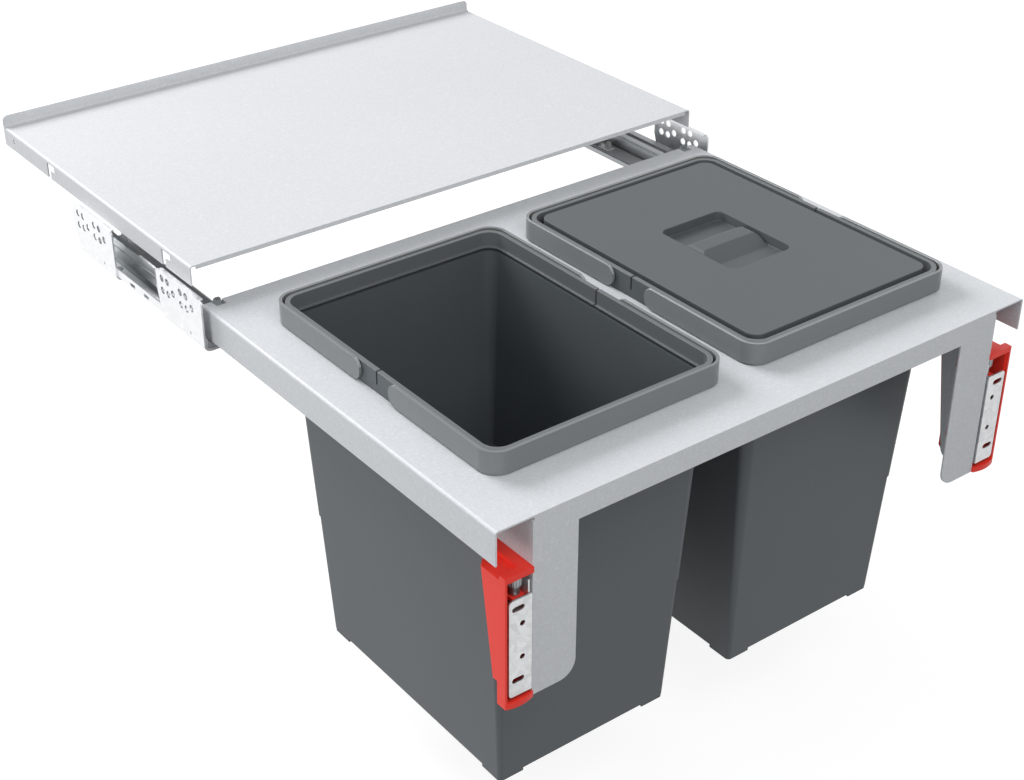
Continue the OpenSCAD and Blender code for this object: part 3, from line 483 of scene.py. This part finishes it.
# The soft-close unit is a flat dark moulding that lies beside the fixed rail, with a pale sliding fork
# that the drawer's arm enters. Both are injection moulded with a fine spark-eroded grain.
GRAIN_SCALE, GRAIN_SHARE = 1500, 0.3
MOTTLE_SCALE, MOTTLE_SHARE = 430, 0.35
CLOUD_SCALE, CLOUD_SHARE = 7, 0.35
# Painted highlight: the band of upward facing between which edges are painted paler, and how pale.
HIGHLIGHT_FROM, HIGHLIGHT_TO = 0.3, 0.96
HIGHLIGHT_LEAST, HIGHLIGHT_SPREAD = 0.7, 0.3
MOULDED_ROUGH_SPREAD = 0.08


def moulded_finish(name, dark, pale, rough, grain_depth=0.02 * MM, gloss=0.45, painted_highlight=None):
    """Moulded plastic. Where its edges turn upwards they can be painted paler, as a painted highlight."""
    finish = Finish(name, Specular_IOR_Level=gloss)
    grain = finish.noise(GRAIN_SCALE)
    mottle = finish.noise(MOTTLE_SCALE, rough=0.6)
    cloud = finish.noise(CLOUD_SCALE, detail=3)
    tone = cloud * CLOUD_SHARE + grain * GRAIN_SHARE + mottle * MOTTLE_SHARE
    body = finish.blend(tone, dark, pale)
    # Painted highlight: edges that turn upwards are painted paler, not rubbed by use.
    if painted_highlight:
        upward = finish.axis(finish.node("ShaderNodeTexCoord")["Normal"], "Z")
        highlit_edge = upward.above(HIGHLIGHT_FROM) * (1 - upward.above(HIGHLIGHT_TO))
        body = finish.blend(highlit_edge * (HIGHLIGHT_LEAST + cloud * HIGHLIGHT_SPREAD), body, painted_highlight)
    finish.set("Base Color", body)
    finish.set("Roughness", rough + cloud * MOULDED_ROUGH_SPREAD)
    finish.bump(grain, grain_depth)
    return finish


damper_grey = moulded_finish("damper_plastic", (0.44, 0.455, 0.46), (0.52, 0.535, 0.54), rough=0.42)
fork_grey = moulded_finish("fork_plastic", (0.62, 0.63, 0.63), (0.70, 0.71, 0.71), rough=0.3)
for side in SIDES:
    eased(f"damper_housing_{side}", damper_grey, edge=0.5 * MM)
    eased(f"damper_catch_{side}", fork_grey, edge=0.3 * MM)


# The tray and the shelf are folded from 1.2 to 1.5 mm steel sheet and powder coated in silver. A small
# round relief at the top of each front leg keeps the sheet from tearing where two folds meet.
FLAKE_SCALE, FLAKE_SHARE = 1100, 0.3
GLINT_SCALE, GLINT_SHARE, GLINT_POWER = 420, 0.2, 6
SPECK_SCALE, SPECK_SHARE = 380, 0.5
SHEET_CLOUD_SCALE, SHEET_CLOUD_SHARE = 3.2, 0.2
SILVER_ROUGH, SILVER_ROUGH_SPREAD = 0.42, 0.14
ORANGE_PEEL_SCALE = 420
ORANGE_PEEL = 0.03 * MM


def silver_finish(name, deep, light, metallic):
    """Fine matt powder coat with metal flakes and a faint orange peel."""
    finish = Finish(name, Metallic=metallic, Specular_IOR_Level=0.15, Coat_Weight=0.02, Coat_Roughness=0.45)
    flake = finish.cells(FLAKE_SCALE, "Green")
    glint = finish.cells(GLINT_SCALE, "Red")
    speck = finish.noise(SPECK_SCALE, rough=0.6)
    sparkle = flake * FLAKE_SHARE + speck * SPECK_SHARE + (glint ** GLINT_POWER) * GLINT_SHARE
    cloud = finish.noise(SHEET_CLOUD_SCALE)
    tone = cloud * SHEET_CLOUD_SHARE + sparkle * (1 - SHEET_CLOUD_SHARE)
    finish.set("Base Color", finish.blend(tone, deep, light))
    finish.set("Roughness", SILVER_ROUGH + flake * SILVER_ROUGH_SPREAD)
    finish.bump(finish.noise(ORANGE_PEEL_SCALE), ORANGE_PEEL)
    return finish


shelf_silver = silver_finish("shelf_silver", (0.56, 0.575, 0.595), (0.79, 0.805, 0.83), metallic=0.05)
tray_silver = silver_finish("tray_silver", (0.545, 0.566, 0.592), (0.77, 0.798, 0.828), metallic=0.06)
TRAY_FRONT_Y = -598 * MM
LEG_OUTER_X = 240.5 * MM
RELIEF_R = 1.5 * MM
RELIEF_Z = -35.2 * MM
RELIEF_DEPTH = 8 * MM
reliefs = []
for side in SIDES:
    bpy.ops.mesh.primitive_cylinder_add(
        vertices=24, radius=RELIEF_R, depth=RELIEF_DEPTH, rotation=(math.pi / 2, 0, 0),
        location=(OUTWARD[side] * LEG_OUTER_X, TRAY_FRONT_Y, RELIEF_Z))
    reliefs.append(bpy.context.object)
eased("tray_frame", tray_silver, edge=0.3 * MM, cutters=reliefs)
eased("shelf_cover", shelf_silver, edge=0.25 * MM)


# Each front leg carries a red moulded housing with a steel thumbwheel inside, which raises and lowers
# the galvanised plate that the cabinet door is screwed to.
red = moulded_finish(
    "adjuster_red", (0.86, 0.04, 0.026), (0.93, 0.055, 0.036), rough=0.34, gloss=0.25,
    grain_depth=0.01 * MM)
door_zinc = galvanised_finish("door_zinc", (0.50, 0.51, 0.52), (0.74, 0.75, 0.76))
for side in SIDES:
    eased(f"adjuster_housing_{side}", red, edge=0.5 * MM)
    eased(f"adjuster_screw_{side}", rail_steel, edge=0.3 * MM)
    eased(f"door_plate_{side}", door_zinc, edge=0.35 * MM)


# The bins are thin grey mouldings that hang in the tray by their collars, each with two bag rings and
# two carrying handles. The paler handles and rings have a painted highlight along their rounded upper
# edges.
BIN_CORNER = 30
bin_grey = moulded_finish(
    "bin_plastic", (0.074, 0.086, 0.094), (0.105, 0.119, 0.128), rough=0.44, gloss=0.35)
rim_grey = moulded_finish(
    "rim_plastic", (0.155, 0.168, 0.173), (0.21, 0.224, 0.229), rough=0.3, gloss=0.5,
    painted_highlight=(0.36, 0.38, 0.385))
ring_grey = moulded_finish(
    "ring_plastic", (0.11, 0.121, 0.126), (0.15, 0.162, 0.168), rough=0.38, painted_highlight=(0.25, 0.265, 0.27))
for side in SIDES:
    eased(f"bin_{side}", bin_grey, edge=0.5 * MM, corner=BIN_CORNER)
    for end in ENDS:
        eased(f"bag_ring_{side}_{end}", ring_grey, edge=0.35 * MM, corner=BIN_CORNER)
        eased(f"handle_{side}_{end}", rim_grey, edge=1.15 * MM, segments=4,
              corner=BIN_CORNER)


# The lid is moulded in the bins' plastic and drops into the right-hand bin's ring. Its grip bar stands
# in a pocket, flush with the plate, and reaches almost from one side of the pocket to the other.
GRIP_LOW = Vector((97.5, -416.5, -22)) * MM
GRIP_HIGH = Vector((154.5, -370, -12)) * MM
GRIP_MIDDLE = (GRIP_LOW + GRIP_HIGH) / 2
GRIP_STRETCH = 1.2


def stretch_grip(piece):
    """Draws the grip bar out towards both sides of its pocket."""
    bpy.ops.object.mode_set(mode="EDIT")
    bpy.ops.mesh.select_mode(type="VERT")
    bpy.ops.mesh.select_all(action="DESELECT")
    bpy.ops.object.mode_set(mode="OBJECT")
    for point in piece.data.vertices:
        spans = zip(GRIP_LOW, point.co, GRIP_HIGH)
        point.select = all(low <= value <= high for low, value, high in spans)
    bpy.ops.object.mode_set(mode="EDIT")
    bpy.ops.transform.resize(value=(GRIP_STRETCH, 1, 1), center_override=GRIP_MIDDLE)
    bpy.ops.object.mode_set(mode="OBJECT")


lid_grey = moulded_finish(
    "lid_plastic", (0.082, 0.091, 0.096), (0.108, 0.118, 0.123), rough=0.5, gloss=0.35)
eased("lid", lid_grey, edge=0.7 * MM, segments=4, corner=BIN_CORNER,
      reshape=stretch_grip)
